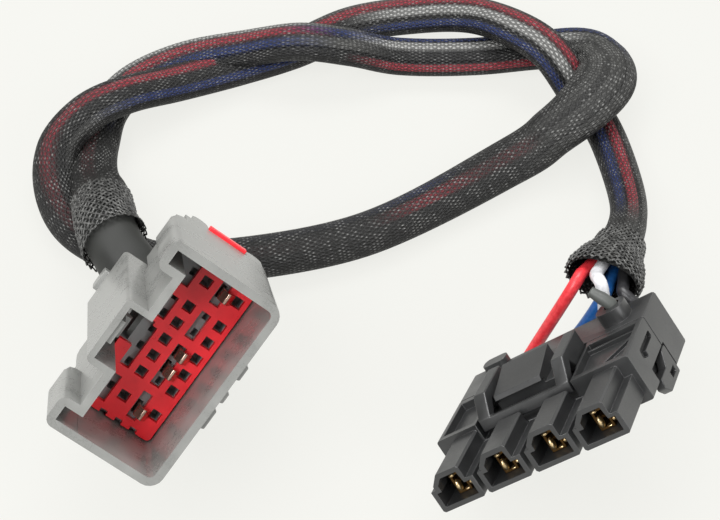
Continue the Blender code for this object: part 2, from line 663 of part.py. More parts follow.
def make_housing(frame, material):
    bm = bmesh.new()
    outline = rounded_rectangle(BODY_LEFT, BODY_BOTTOM, BODY_RIGHT, BODY_TOP, 0.5, 2)
    add_prism(bm, outline, HOUSING_BACK, -TOWER_LENGTH)
    housing = make_object("plug_housing", bm, frame, material)

    def tower(number):
        def draw(tool):
            left = tower_left(number)
            outline = [(0, 0.4), (0.4, 0), (TOWER_WIDTH - 0.4, 0), (TOWER_WIDTH, 0.4),
                       (TOWER_WIDTH, TOWER_SHOULDER), (CREST_RIGHT, TOWER_SHOULDER),
                       (CREST_RIGHT, TOWER_HEIGHT - 0.4), (CREST_RIGHT - 0.4, TOWER_HEIGHT),
                       (CREST_LEFT, TOWER_HEIGHT), (1.1, TOWER_SHOULDER + 0.9), (1.1, TOWER_SHOULDER),
                       (0, TOWER_SHOULDER)]
            add_prism(tool, [(left + x, y) for x, y in outline], -TOWER_LENGTH - 1, 0)
        return draw

    def ramp(tool):
        back = HOUSING_BACK + 0.8
        profile = [(BODY_TOP - 1, back), (RAMP_TOP, back), (RAMP_TOP - 0.3, -27.0), (RAMP_TOP - 1.6, -18.6),
                   (BODY_TOP - 1, -17.2)]
        add_prism(tool, profile, RAMP_LEFT, RAMP_RIGHT, along="x")
    shape_with(housing, frame, "UNION", "tower", *[tower(number) for number in range(TOWER_COUNT)])
    shape_with(housing, frame, "UNION", "ramp", ramp)

    def mouth(number):
        def draw(tool):
            left = tower_left(number)
            wall = TOWER_WALL
            outline = [(wall, wall), (TOWER_WIDTH - wall, wall), (TOWER_WIDTH - wall, TOWER_SHOULDER - 0.7),
                       (CREST_RIGHT - 0.7, TOWER_SHOULDER - 0.7), (CREST_RIGHT - wall, TOWER_HEIGHT - wall),
                       (CREST_LEFT + 0.5, TOWER_HEIGHT - wall), (2.1, TOWER_SHOULDER + 0.6),
                       (2.1, TOWER_SHOULDER - 0.7), (wall, TOWER_SHOULDER - 0.7)]
            add_prism(tool, [(left + x, y) for x, y in outline], -FRONT_CAVITY_DEPTH, 1)
        return draw

    def wire_ways(tool):
        for number in range(TOWER_COUNT):
            add_prism(tool, circle(tower_centre(number), WIRE_AXIS_Y, WIRE_HOLE / 2, 12),
                      HOUSING_BACK - 1, -FRONT_CAVITY_DEPTH + 1)

    def panels(tool):
        top = BODY_TOP - PANEL_DEPTH
        for left, right in ((BODY_LEFT + PANEL_FRAME, LEFT_ARM_X - 1.4),
                            (RIGHT_ARM_X + ARM_WIDTH + 1.0, BODY_RIGHT - PANEL_FRAME)):
            add_box(tool, (left, top, HOUSING_BACK + 1.6), (right, BODY_TOP + 1, -TOWER_LENGTH - 1.5))

    def latch_bay(tool):
        outline = rectangle(LEFT_ARM_X - 0.6, -19.5, RIGHT_ARM_X + ARM_WIDTH + 0.6, -TOWER_LENGTH + 1)
        add_prism(tool, outline, TOWER_SHOULDER + 0.2, BODY_TOP + 1, along="y")

    def arm_slots(tool):
        for left in (LEFT_ARM_X, RIGHT_ARM_X):
            add_box(tool, (left - SLIDE_GAP, BODY_TOP - 1.8, HOUSING_BACK - 1),
                    (left + ARM_WIDTH + SLIDE_GAP, RAMP_TOP + 2, -19.0))

    def end_grooves(tool):
        outline = rounded([(4.6, -19.4), (6.3, -20.0), (6.3, -28.5), (4.9, -28.5), (4.9, -22.4),
                           (3.6, -22.4)], [0.6, 0.5, 0.4, 0.4, 0.3, 0.3], 2)
        add_prism(tool, outline, BODY_RIGHT - 1.0, BODY_RIGHT + 1, along="x")

    def side_latch_bay(tool):
        add_box(tool, (BODY_RIGHT - 2.2, BODY_BOTTOM - 1, HOUSING_BACK - 1), (BODY_RIGHT + 1, 1.8, -20.0))
    def panel_ribs(tool):
        left = RIGHT_ARM_X + ARM_WIDTH + 1.0
        right = BODY_RIGHT - PANEL_FRAME
        top = BODY_TOP - PANEL_DEPTH
        back = HOUSING_BACK + 2.6
        add_box(tool, (left - 0.5, top - 0.5, back), (right + 0.5, top + 0.9, back + 0.7))
        slanted = [(right - 6.0, -18.0), (right - 5.2, -18.0), (right + 0.2, -26.4), (right - 0.6, -26.4)]
        add_prism(tool, slanted, top - 0.5, top + 0.7, along="y")
    shape_with(housing, frame, "DIFFERENCE", "mouth", *[mouth(number) for number in range(TOWER_COUNT)])
    shape_with(housing, frame, "DIFFERENCE", "way", wire_ways, panels, latch_bay, arm_slots, end_grooves,
               side_latch_bay)
    shape_with(housing, frame, "UNION", "rib", panel_ribs)
    return housing


def make_receptacles(frame, material):
    """Brass box contacts in the towers, with a bowed spring inside and a locating wing."""
    front = RECEPTACLE_FRONT
    back = -TOWER_LENGTH - 6.0
    low = WIRE_AXIS_Y + 0.3 - RECEPTACLE_HEIGHT / 2
    for number in range(TOWER_COUNT):
        centre = tower_centre(number)
        left = centre - RECEPTACLE_WIDTH / 2
        right = centre + RECEPTACLE_WIDTH / 2
        bm = bmesh.new()
        add_box(bm, (left, low, -FRONT_CAVITY_DEPTH + GAP), (right, low + RECEPTACLE_HEIGHT, front))
        contact = make_object(f"receptacle_{number + 1}", bm, frame, material)

        def bore(tool):
            wall = RECEPTACLE_WALL
            add_box(tool, (left + wall, low + wall, -FRONT_CAVITY_DEPTH + 2.0),
                    (right - wall, low + RECEPTACLE_HEIGHT - wall, front + 1))

        def wing(tool):
            add_box(tool, (right - 0.2, low + 0.9, -FRONT_CAVITY_DEPTH + GAP),
                    (right + 1.5, low + 1.5, front - 1.0))

        def spring(tool):
            middle = low + RECEPTACLE_HEIGHT / 2
            profile = [(middle - 0.5, -FRONT_CAVITY_DEPTH + 1.0), (middle - 0.25, front - 0.9),
                       (middle + 0.35, front - 0.5), (middle + 0.5, -FRONT_CAVITY_DEPTH + 1.0)]
            add_prism(tool, profile, left + 0.2, right - 0.2, along="x")

        def barrel(tool):
            add_prism(tool, circle(centre, WIRE_AXIS_Y, WIRE_DIAMETER / 2, 12), back,
                      -FRONT_CAVITY_DEPTH + 0.8)
        shape_with(contact, frame, "DIFFERENCE", "bore", bore)
        shape_with(contact, frame, "UNION", "wing", wing, spring, barrel)


def make_latch_frame(frame, material):
    """Bail that snaps over the controller's ramp: two arms and a crossbar."""
    floor = BODY_TOP - 1.4
    pivot = (0, floor + 0.5, -ARM_PIVOT_DEPTH)
    profile = [(floor, -ARM_PIVOT_DEPTH - 1.0), (ARM_TOP, -ARM_PIVOT_DEPTH - 1.0), (ARM_TOP, -18.2),
               (BODY_TOP, -14.4), (TOWER_SHOULDER + 1.4, -14.1), (TOWER_SHOULDER + 1.4, -16.4),
               (BODY_TOP - 0.6, -17.0), (ARM_TOP - 2.2, -20.0), (floor, -22.0)]
    bm = bmesh.new()
    add_prism(bm, profile, LEFT_ARM_X, LEFT_ARM_X + ARM_WIDTH, along="x")
    latch = make_object("latch_frame", bm, frame, material, pivot=pivot)

    def right_arm(tool):
        add_prism(tool, profile, RIGHT_ARM_X, RIGHT_ARM_X + ARM_WIDTH, along="x")

    def crossbar(tool):
        bar = [(TOWER_SHOULDER + 1.4, -16.4), (TOWER_SHOULDER + 1.4, -14.1), (BODY_TOP, -14.4),
               (BODY_TOP - 0.3, -16.2)]
        add_prism(tool, bar, LEFT_ARM_X + 0.5, RIGHT_ARM_X + ARM_WIDTH - 0.5, along="x")
    shape_with(latch, frame, "UNION", "side", right_arm, crossbar)
    return latch


def make_rear_lock(frame, material):
    """Slides onto the back of the housing and keeps the contacts in."""
    bm = bmesh.new()
    outline = rounded_rectangle(BODY_LEFT, LOCK_BOTTOM, BODY_RIGHT, BODY_TOP, 0.6, 2)
    add_prism(bm, outline, -LOCK_BACK, LOCK_FRONT)
    lock = make_object("rear_lock", bm, frame, material, pivot=(0, 0, LOCK_FRONT))

    def skirt(tool):
        add_box(tool, (BODY_LEFT, LOCK_BOTTOM, LOCK_FRONT - 1), (BODY_RIGHT, BODY_BOTTOM - SLIDE_GAP, -24.0))

    def clip(tool):
        outline = rounded_rectangle(2.6, -LOCK_BACK - 1.6, 8.2, -LOCK_BACK + 2.0, 1.3, 4)
        add_prism(tool, outline, BODY_TOP - 1.2, BODY_TOP + 1.3, along="y")

    def boss(tool):
        x, z = PEG_PLACE
        outline = rounded_rectangle(x - 3.2, z - 2.6, x + 2.8, z + 3.6, 2.2, 5)
        add_prism(tool, outline, BODY_TOP - 1, BODY_TOP + 3.0, along="y")
    shape_with(lock, frame, "UNION", "skirt", skirt, clip, boss)

    def wire_ways(tool):
        for number in range(TOWER_COUNT):
            add_prism(tool, circle(tower_centre(number), WIRE_AXIS_Y, WIRE_HOLE / 2, 12), -LOCK_BACK - 1,
                      LOCK_FRONT + 1)

    def latch_seat(tool):
        add_box(tool, (BODY_RIGHT - 2.2, LOCK_BOTTOM - 1, -31.5), (BODY_RIGHT + 1, 1.8, -23.0))

    def peg_hole(tool):
        add_prism(tool, circle(*PEG_PLACE, 1.7, 12), BODY_TOP + 0.4, BODY_TOP + 4, along="y")
    shape_with(lock, frame, "DIFFERENCE", "cut", wire_ways, latch_seat, peg_hole)
    return lock


def make_side_latch(frame, material):
    """Hook at the right end that holds the rear lock onto the housing."""
    low = LOCK_BOTTOM - 1.0
    profile = rounded([(1.4, -31.1), (1.4, -28.6), (-1.2, -26.2), (-1.2, -21.4), (-3.0, -20.6), (low, -22.6),
                       (low, -31.1)], [0.4, 1.2, 1.2, 0.5, 0.5, 0.5, 0.4], 3)
    bm = bmesh.new()
    add_prism(bm, profile, BODY_RIGHT - 1.8, BODY_RIGHT, along="x")
    latch = make_object("side_latch", bm, frame, material, pivot=(BODY_RIGHT - 0.9, -1.5, -31.1))

    def window(tool):
        add_box(tool, (BODY_RIGHT - 3, low + 0.9, -29.6), (BODY_RIGHT + 1, -2.6, -26.4))
    shape_with(latch, frame, "DIFFERENCE", "window", window)
    return latch


def make_wire_peg(frame, material):
    """Soft peg in the boss on the rear lock; the wires lie against it."""
    bm = bmesh.new()
    root = Vector((PEG_PLACE[0], BODY_TOP + 0.7, PEG_PLACE[1]))
    lean = Vector((-0.52, 0.85, -0.1)).normalized()
    centres = [root, root + Vector((0, 2.6, 0)), root + Vector((0, 2.6, 0)) + lean * 2.0,
               root + Vector((0, 2.6, 0)) + lean * 4.6]
    add_loft(bm, centres, [(0, 1, 0), (-0.2, 1, 0), lean, lean], [1.35, 1.35, 1.3, 1.0], 14)
    return make_object("wire_peg", bm, frame, material)


# ---------------------------------------------------------------- wires

def black_to_table(point):
    return rotation(BLACK_TURN) @ Vector(point) + Vector(BLACK_PLACE)


def shifted(points):
    return [Vector(point) + Vector(TABLE_SHIFT) for point in points]


def cable_points():
    """The cable's centre line, a gap clear of the boot's end."""
    start = Vector(CABLE_ROUTE[0])
    step_off = (Vector(CABLE_ROUTE[1]) - start).normalized() * GAP
    return smooth_route([start + step_off] + CABLE_ROUTE[1:], CABLE_DIAMETER)


def wire_start(name):
    """Where a wire leaves the sleeve, and which way."""
    points = cable_points()
    forward = (points[-1] - points[-2]).normalized()
    left = forward.cross(Vector((0, 0, 1))).normalized()
    aside, above, bow = WIRE_STARTS[name]
    return points[-1] + forward * 2 * GAP + left * aside + left.cross(forward) * above, forward


def make_wires(materials):
    """Each wire runs from the sleeve's open end to the contact in its tower."""
    for number, (name, material) in enumerate(materials):
        start, forward = wire_start(name)
        bow = Vector((0, 0, WIRE_STARTS[name][2]))
        centre = tower_centre(number)
        inside = black_to_table((centre, WIRE_AXIS_Y, -TOWER_LENGTH - 6.0 - GAP))
        rear = black_to_table((centre, WIRE_AXIS_Y, -LOCK_BACK - WIRE_LEAD))
        inward = (inside - rear).normalized()
        reach = (rear - start).length
        bend = [start, start + forward * 1.2]
        for step in range(2, 8):
            t = step / 8
            point = ((1 - t) ** 3 * start + 3 * (1 - t) ** 2 * t * (start + forward * reach * WIRE_EASE)
                     + 3 * (1 - t) * t ** 2 * (rear - inward * reach * WIRE_EASE) + t ** 3 * rear)
            bend.append(point + bow * math.sin(math.pi * t) ** 2)
        bend.append(rear)
        bend.append(rear.lerp(inside, 0.5))
        bend.append(inside)
        make_tube(name, shifted(bend), WIRE_DIAMETER, material)


def main():
    for obj in list(bpy.data.objects):
        bpy.data.objects.remove(obj)
    grey_plastic = make_material("grey_plastic", (0.38, 0.39, 0.37), 0.45)
    dark_grey = make_material("dark_grey_plastic", (0.16, 0.17, 0.17), 0.5)
    red_plastic = make_material("red_plastic", (0.6, 0.03, 0.04), 0.4)
    black_plastic = make_material("black_plastic", (0.05, 0.05, 0.05), 0.5)
    copper = make_material("copper", (0.75, 0.45, 0.3), 0.25, 1.0)
    brass = make_material("brass", (0.8, 0.58, 0.28), 0.25, 1.0)
    rubber = make_material("grey_rubber", (0.1, 0.11, 0.1), 0.7)
    sleeve = make_material("braided_sleeve", (0.03, 0.03, 0.03), 0.6)

    grey_frame = make_frame("grey_plug_frame", GREY_PLACE, GREY_TURN)
    make_shroud(grey_frame, grey_plastic)
    make_lock_plate(grey_frame, red_plastic)
    make_terminal_body(grey_frame, dark_grey)
    make_plug_terminals(grey_frame, copper)
    make_lock_slide(grey_frame, red_plastic)
    make_lock_lever(grey_frame, grey_plastic)
    make_rear_cover(grey_frame, grey_plastic)
    make_boot(grey_frame, rubber)

    black_frame = make_frame("black_plug_frame", BLACK_PLACE, BLACK_TURN)
    make_housing(black_frame, black_plastic)
    make_receptacles(black_frame, brass)
    make_latch_frame(black_frame, black_plastic)
    make_rear_lock(black_frame, black_plastic)
    make_side_latch(black_frame, black_plastic)
    make_wire_peg(black_frame, rubber)

    make_tube("braided_cable", shifted(cable_points()), CABLE_DIAMETER, sleeve)
    make_wires([("wire_red", make_material("red_wire", (0.7, 0.03, 0.03), 0.4)),
                ("wire_blue", make_material("blue_wire", (0.02, 0.12, 0.4), 0.4)),
                ("wire_white", make_material("white_wire", (0.8, 0.8, 0.8), 0.4)),
                ("wire_black", make_material("black_wire", (0.02, 0.02, 0.02), 0.4))])


main()
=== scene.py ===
"""Looks of the brake controller adapter harness: materials, the braided sleeve and wires, light, camera.

Lengths here are in millimetres and MM turns them into metres. Each plug has a frame of its own, worked
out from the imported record's joints and mounts:
  grey plug:  x across the shroud, y along it, z out of its mouth, z = 0 at the rim
  black plug: x along the row of towers, y up, z out of the towers, z = 0 at their mouths
"""
import json
import math

import bmesh
import bpy
from mathutils import Matrix, Vector


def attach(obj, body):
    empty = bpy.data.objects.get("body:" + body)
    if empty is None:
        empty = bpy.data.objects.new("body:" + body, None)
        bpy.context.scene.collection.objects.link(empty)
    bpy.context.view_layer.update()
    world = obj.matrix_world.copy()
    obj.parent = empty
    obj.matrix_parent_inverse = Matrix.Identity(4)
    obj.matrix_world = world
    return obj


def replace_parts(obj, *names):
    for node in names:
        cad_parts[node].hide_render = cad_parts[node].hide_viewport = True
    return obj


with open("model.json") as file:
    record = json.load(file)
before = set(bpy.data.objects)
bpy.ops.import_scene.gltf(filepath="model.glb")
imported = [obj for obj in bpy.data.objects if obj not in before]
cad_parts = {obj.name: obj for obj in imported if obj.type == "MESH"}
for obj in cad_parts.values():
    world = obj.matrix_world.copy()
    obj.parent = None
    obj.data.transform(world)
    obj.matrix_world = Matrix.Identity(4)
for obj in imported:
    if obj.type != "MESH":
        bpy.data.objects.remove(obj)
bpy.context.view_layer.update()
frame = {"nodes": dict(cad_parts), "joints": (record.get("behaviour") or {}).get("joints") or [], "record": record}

MM = 0.001
nodes = frame["nodes"]
joints = {joint["name"]: joint for joint in frame["joints"]}
mounts = {mount["name"]: mount for mount in frame["record"]["mounts"]}


# ---------------------------------------------------------------- places

def plug_matrix(x_axis, y_axis, z_axis, known_point, known_local):
    """World matrix, in metres from millimetres, of a plug with these axes and one known point."""
    turn = Matrix((x_axis, y_axis, z_axis)).transposed()
    place = Vector(known_point) - turn @ (Vector(known_local) * MM)
    return Matrix.Translation(place) @ turn.to_4x4() @ Matrix.Scale(MM, 4)


def grey_plug_matrix():
    rim = mounts["vehicle_plug_rim"]
    z_axis = Vector(rim["axis"]).normalized()
    y_axis = Vector(joints["lock_slide_out"]["axis"]).normalized()
    return plug_matrix(y_axis.cross(z_axis), y_axis, z_axis, rim["pos_m"], (6.95, 0.0, 0.0))


def black_plug_matrix():
    face = mounts["controller_plug_face"]
    z_axis = Vector(face["axis"]).normalized()
    x_axis = -Vector(joints["latch_lift"]["axis"]).normalized()
    return plug_matrix(x_axis, z_axis.cross(x_axis), z_axis, face["pos_m"], (20.0, -0.65, -13.8))


GREY_PLUG = grey_plug_matrix()
BLACK_PLUG = black_plug_matrix()

# The same shift and route as in the part's source
TABLE_SHIFT = (-1.87, -170.33, 0.0)
CABLE_ROUTE = [
    (-54, 204, 15), (-56, 212, 11), (-59, 222, 6), (-59, 231, 4), (-57, 240, 4), (-51, 248, 4),
    (-40, 254, 4), (-26, 255, 7), (-14, 254, 11), (-3, 254, 9), (9, 255, 4), (27, 255, 4),
    (49, 256, 6), (55, 251, 9), (55, 243, 12), (50, 236, 12), (43, 231, 9), (34, 226, 5),
    (0, 207, 4), (-37, 200, 4), (-52, 203, 4), (-62, 209, 4), (-67, 218, 5), (-67, 227, 8),
    (-61, 234, 11), (-53, 239, 11), (-42, 246, 6), (-28, 252, 4), (-15, 257, 4), (-2, 264, 4),
    (12, 266, 5), (25, 264, 8), (35, 257, 12), (43, 251, 11), (50, 243, 5), (55, 234, 4),
    (58, 221, 5), (58, 209, 10), (55, 198, 17), (49, 184, 25),
]
ROUTE_GAP = 0.3          # the sleeve starts this far from the boot's end
WIRE_DIAMETER = 2.6
# Each wire where it leaves the sleeve: how far left and up it starts, and how high it bows on its way
WIRE_STARTS = {"red": (4.5, 0.0, 0.0), "blue": (-1.5, -1.6, -2.2),
               "white": (1.5, 1.6, 6.4), "black": (-4.5, 0.0, 0.0)}
TOWER_COUNT = 4
TOWER_PITCH = 10.7
TOWER_WIDTH = 9.7


# ---------------------------------------------------------------- camera, light and floor

def make_camera():
    """A long lens above and in front, looking 60 degrees down."""
    data = bpy.data.cameras.new("camera")
    data.lens = 92.75
    data.sensor_width = 36.0
    data.clip_start = 0.01
    camera = bpy.data.objects.new("camera", data)
    camera.location = Vector((0.0, 0.0, 352.0)) * MM + Vector(TABLE_SHIFT) * MM
    camera.rotation_euler = (math.radians(30.0), 0.0, 0.0)
    bpy.context.scene.collection.objects.link(camera)
    bpy.context.scene.camera = camera


def make_light(name, place, size, energy, target=(0.0, 0.02, 0.0)):
    data = bpy.data.lights.new(name, "AREA")
    data.shape = "RECTANGLE"
    data.size = size[0]
    data.size_y = size[1]
    data.energy = energy
    light = bpy.data.objects.new(name, data)
    light.location = place
    light.rotation_euler = (Vector(target) - Vector(place)).to_track_quat("-Z", "Y").to_euler()
    bpy.context.scene.collection.objects.link(light)


def make_studio():
    make_light("key_light", (-0.35, -0.25, 0.75), (0.5, 0.5), 6.0)
    make_light("fill_light", (0.6, -0.35, 0.5), (0.5, 0.5), 2.8)
    make_light("top_light", (0.0, 0.45, 0.8), (0.7, 0.4), 6.5)
    world = bpy.data.worlds.new("studio")
    world.use_nodes = True
    background = world.node_tree.nodes["Background"]
    background.inputs["Color"].default_value = (1.0, 1.0, 0.98, 1.0)
    background.inputs["Strength"].default_value = 0.62
    bpy.context.scene.world = world
    bpy.context.scene.view_settings.view_transform = "Standard"
    mesh = bpy.data.meshes.new("floor")
    half = 3.0
    corners = [(-half, -half, 0), (half, -half, 0), (half, half, 0), (-half, half, 0)]
    mesh.from_pydata(corners, [], [(0, 1, 2, 3)])
    floor = bpy.data.objects.new("floor", mesh)
    floor.location.z = -0.0002
    bpy.context.scene.collection.objects.link(floor)
    material = bpy.data.materials.new("floor")
    material.use_nodes = True
    shader = material.node_tree.nodes["Principled BSDF"]
    shader.inputs["Base Color"].default_value = (0.06, 0.06, 0.058, 1.0)
    shader.inputs["Roughness"].default_value = 0.9
    shader.inputs["Specular IOR Level"].default_value = 0.1
    shader.inputs["Emission Color"].default_value = (1.0, 1.0, 0.955, 1.0)
    shader.inputs["Emission Strength"].default_value = 0.80
    mesh.materials.append(material)


# ---------------------------------------------------------------- materials

class Nodes:
    """Short calls for building a node tree."""

    def __init__(self, name):
        self.material = bpy.data.materials.new(name)
        self.material.use_nodes = True
        self.tree = self.material.node_tree
        self.shader = self.tree.nodes["Principled BSDF"]

    def link(self, value, socket):
        if isinstance(value, bpy.types.NodeSocket):
            self.tree.links.new(value, socket)
        else:
            socket.default_value = value

    def math(self, operation, *values, clamp=False):
        node = self.tree.nodes.new("ShaderNodeMath")
        node.operation = operation
        node.use_clamp = clamp
        for value, socket in zip(values, node.inputs):
            self.link(value, socket)
        return node.outputs[0]

    def mix(self, factor, low, high):
        node = self.tree.nodes.new("ShaderNodeMix")
        node.data_type = "RGBA"
        self.link(factor, node.inputs["Factor"])
        self.link(low, node.inputs["A"])
        self.link(high, node.inputs["B"])
        return node.outputs["Result"]

    def noise(self, vector, scale, detail=4.0, roughness=0.55):
        node = self.tree.nodes.new("ShaderNodeTexNoise")
        self.link(vector, node.inputs["Vector"])
        node.inputs["Scale"].default_value = scale
        node.inputs["Detail"].default_value = detail
        node.inputs["Roughness"].default_value = roughness
        return node.outputs["Fac"]

    def remap(self, value, low, high, to_low=0.0, to_high=1.0):
        node = self.tree.nodes.new("ShaderNodeMapRange")
        self.link(value, node.inputs["Value"])
        node.inputs["From Min"].default_value = low
        node.inputs["From Max"].default_value = high
        node.inputs["To Min"].default_value = to_low
        node.inputs["To Max"].default_value = to_high
        return node.outputs["Result"]

    def place(self):
        return self.tree.nodes.new("ShaderNodeTexCoord").outputs["Object"]

    def uv(self):
        return self.tree.nodes.new("ShaderNodeTexCoord").outputs["UV"]

    def split(self, vector):
        node = self.tree.nodes.new("ShaderNodeSeparateXYZ")
        self.link(vector, node.inputs[0])
        return node.outputs

    def colour_attribute(self, name):
        node = self.tree.nodes.new("ShaderNodeVertexColor")
        node.layer_name = name
        return node.outputs["Color"], node.outputs["Alpha"]

    def bump(self, height, distance, strength=1.0):
        node = self.tree.nodes.new("ShaderNodeBump")
        node.inputs["Strength"].default_value = strength
        node.inputs["Distance"].default_value = distance
        self.link(height, node.inputs["Height"])
        self.link(node.outputs["Normal"], self.shader.inputs["Normal"])

    def set(self, **values):
        for name, value in values.items():
            self.link(value, self.shader.inputs[name.replace("_", " ")])
        return self.material


def moulded_plastic(name, colour, roughness=0.42, grain=0.10, mottle=0.08, specular=0.5):
    """Moulded plastic: spark-eroded grain, faint flow marks and handling wear in its gloss."""
    tree = Nodes(name)
    place = tree.place()
    flow = tree.noise(place, 140.0, 3.0)
    fine = tree.noise(place, 2600.0, 2.0)
    light = [min(1.0, channel * (1 + 2.2 * mottle) + 0.004) for channel in colour]
    dark = [channel * (1 - 1.6 * mottle) for channel in colour]
    tinted = tree.mix(tree.remap(flow, 0.3, 0.7), (*dark, 1.0), (*light, 1.0))
    gloss = tree.math("ADD", tree.remap(flow, 0.3, 0.7, roughness - 0.06, roughness + 0.06),
                      tree.remap(fine, 0.3, 0.7, -0.03, 0.03))
    tree.bump(fine, 0.00002, grain)
    return tree.set(Base_Color=tinted, Roughness=gloss, Specular_IOR_Level=specular)


def stamped_metal(name, colour, roughness=0.22):
    """Stamped and plated sheet: fine rolling lines and slight tarnish."""
    tree = Nodes(name)
    place = tree.place()
    tarnish = tree.noise(place, 500.0, 3.0)
    lines = tree.noise(place, 4000.0, 2.0)
    dull = [channel * 0.62 for channel in colour]
    tinted = tree.mix(tree.remap(tarnish, 0.35, 0.65), (*colour, 1.0), (*dull, 1.0))
    gloss = tree.remap(tarnish, 0.3, 0.7, roughness - 0.05, roughness + 0.12)
    tree.bump(lines, 0.00001, 0.15)
    return tree.set(Base_Color=tinted, Roughness=gloss, Metallic=1.0)


def wire_insulation(name, colour):
    """Extruded insulation: smooth, a little wavy, with faint scuffs."""
    tree = Nodes(name)
    place = tree.place()
    scuff = tree.noise(place, 900.0, 3.0)
    light = [min(1.0, channel * 1.12 + 0.01) for channel in colour]
    dark = [channel * 0.86 for channel in colour]
    tinted = tree.mix(tree.remap(scuff, 0.35, 0.65), (*dark, 1.0), (*light, 1.0))
    tree.bump(scuff, 0.00003, 0.2)
    return tree.set(Base_Color=tinted, Roughness=tree.remap(scuff, 0.3, 0.7, 0.3, 0.42))


WEAVE_ACROSS = 34      # strands of each hand round the sleeve
WEAVE_STEP = 0.9       # millimetres along the sleeve from one crossing to the next of the same strand
SHEER = 0.26           # how much a wire's colour shows through the strands themselves


def braid(name):
    """Open braid of dark monofilament over wires, whose colours are in the mesh's 'under' attribute.

    UV u runs once round the sleeve and v is millimetres along it divided by 100.
    """
    tree = Nodes(name)
    across, along, _ = tree.split(tree.uv())
    under, cover = tree.colour_attribute("under")
    round_count = tree.math("MULTIPLY", across, float(WEAVE_ACROSS))
    length_count = tree.math("MULTIPLY", along, 100.0 / (2 * WEAVE_STEP))
    first = tree.math("ADD", round_count, length_count)
    second = tree.math("SUBTRACT", round_count, length_count)

    def nearness(place):
        """1 along the middle of one hand's strands, 0 between two of them."""
        return tree.math("ABSOLUTE", tree.math("SINE", tree.math("MULTIPLY", place, math.pi)))

    def strand(near, place, other):
        """Height of one hand's strands, lifted and lowered as it passes the other hand's."""
        lift = tree.math("SINE", tree.math("MULTIPLY", tree.math("ADD", other, place), math.pi))
        return tree.math("ADD", tree.remap(near, 0.35, 1.0), tree.math("MULTIPLY", lift, 0.25))
    left_near = nearness(first)
    right_near = nearness(second)
    height = tree.math("MAXIMUM", strand(left_near, first, second), strand(right_near, second, first))
    covered = tree.remap(height, 0.30, 0.62)
    # Painted highlight: at some strand crossings, picked by noise, the fibre colour is lifted towards light grey
    # to stand in for glints of light on the monofilament.
    crossing = tree.remap(tree.math("MINIMUM", left_near, right_near), 0.72, 0.92)
    painted_crossing_glint = tree.math("MULTIPLY", crossing, tree.remap(tree.noise(tree.place(), 420.0, 2.0), 0.48, 0.60))
    fibre_and_painted_glint = tree.mix(painted_crossing_glint, (0.016, 0.016, 0.0155, 1.0), (0.15, 0.15, 0.145, 1.0))
    see_through = tree.math("MULTIPLY", tree.math("SUBTRACT", 1.0, covered, clamp=True), cover)
    see_through = tree.math("ADD", see_through, tree.math("MULTIPLY", cover, SHEER), clamp=True)
    tinted = tree.mix(see_through, fibre_and_painted_glint, under)
    tree.bump(height, 0.00025, 0.9)
    return tree.set(Base_Color=tinted, Roughness=0.48, Specular_IOR_Level=0.22)


def monofilament(name):
    tree = Nodes(name)
    # Painted highlight: lighter noise specks on the dark strands stand in for glints of light on the monofilament.
    painted_glint_speck = tree.noise(tree.place(), 900.0, 2.0, 0.7)
    tinted = tree.mix(tree.remap(painted_glint_speck, 0.4, 0.75), (0.008, 0.008, 0.0075, 1.0), (0.14, 0.14, 0.135, 1.0))
    return tree.set(Base_Color=tinted, Roughness=0.36, Specular_IOR_Level=0.6)


# ---------------------------------------------------------------- curves and tubes

def shifted(points):
    return [Vector(point) + Vector(TABLE_SHIFT) for point in points]


def smooth_route(points, spacing):
    """Points at about even spacing on the smooth curve through the route's own points."""
    points = [Vector(point) for point in points]
    padded = [2 * points[0] - points[1]] + points + [2 * points[-1] - points[-2]]
    fine = []
    for index in range(1, len(padded) - 2):
        a, b, c, d = padded[index - 1:index + 3]
        for step in range(16):
            t = step / 16
            fine.append(0.5 * (2 * b + (c - a) * t + (2 * a - 5 * b + 4 * c - d) * t ** 2
                               + (3 * b - a - 3 * c + d) * t ** 3))
    fine.append(points[-1])
    return evenly(fine, spacing)


def evenly(fine, spacing):
    total = sum((after - before).length for before, after in zip(fine, fine[1:]))
    count = max(2, round(total / spacing))
    spaced = [fine[0]]
    walked = 0.0
    target = 1
    for before, after in zip(fine, fine[1:]):
        length = (after - before).length
        while target < count and walked + length >= total * target / count:
            spaced.append(before.lerp(after, (total * target / count - walked) / length))
            target += 1
        walked += length
    spaced.append(fine[-1])
    return spaced


def length_of(points):
    return sum((after - before).length for before, after in zip(points, points[1:]))


def eased(table, place):
    """Value at a place in a table of (place, value or values), with smooth steps between its rows."""
    before = table[0]
    for row in table:
        if row[0] >= place:
            span = row[0] - before[0]
            t = (place - before[0]) / span if span else 0.0
            t = t * t * (3 - 2 * t)
            return [low + (high - low) * t for low, high in zip(before[1:], row[1:])]
        before = row
    return list(table[-1][1:])


def link_mesh(name, vertices, faces, material):
    mesh = bpy.data.meshes.new(name)
    mesh.from_pydata(vertices, [], faces)
    mesh.materials.append(material)
    mesh.polygons.foreach_set("use_smooth", [True] * len(mesh.polygons))
    mesh.validate()
    obj = bpy.data.objects.new(name, mesh)
    bpy.context.scene.collection.objects.link(obj)
    return obj


def rings_mesh(name, rings, material, caps=True):
    """A tube through rings of equal vertex count, in millimetres."""
    sides = len(rings[0])
    vertices = [tuple(point * MM) for ring in rings for point in ring]
    faces = []
    for index in range(len(rings) - 1):
        low = index * sides
        for side in range(sides):
            after = (side + 1) % sides
            faces.append((low + side, low + after, low + sides + after, low + sides + side))
    if caps:
        faces.append(tuple(range(sides - 1, -1, -1)))
        last = (len(rings) - 1) * sides
        faces.append(tuple(range(last, last + sides)))
    return link_mesh(name, vertices, faces, material)


# ---------------------------------------------------------------- sleeve

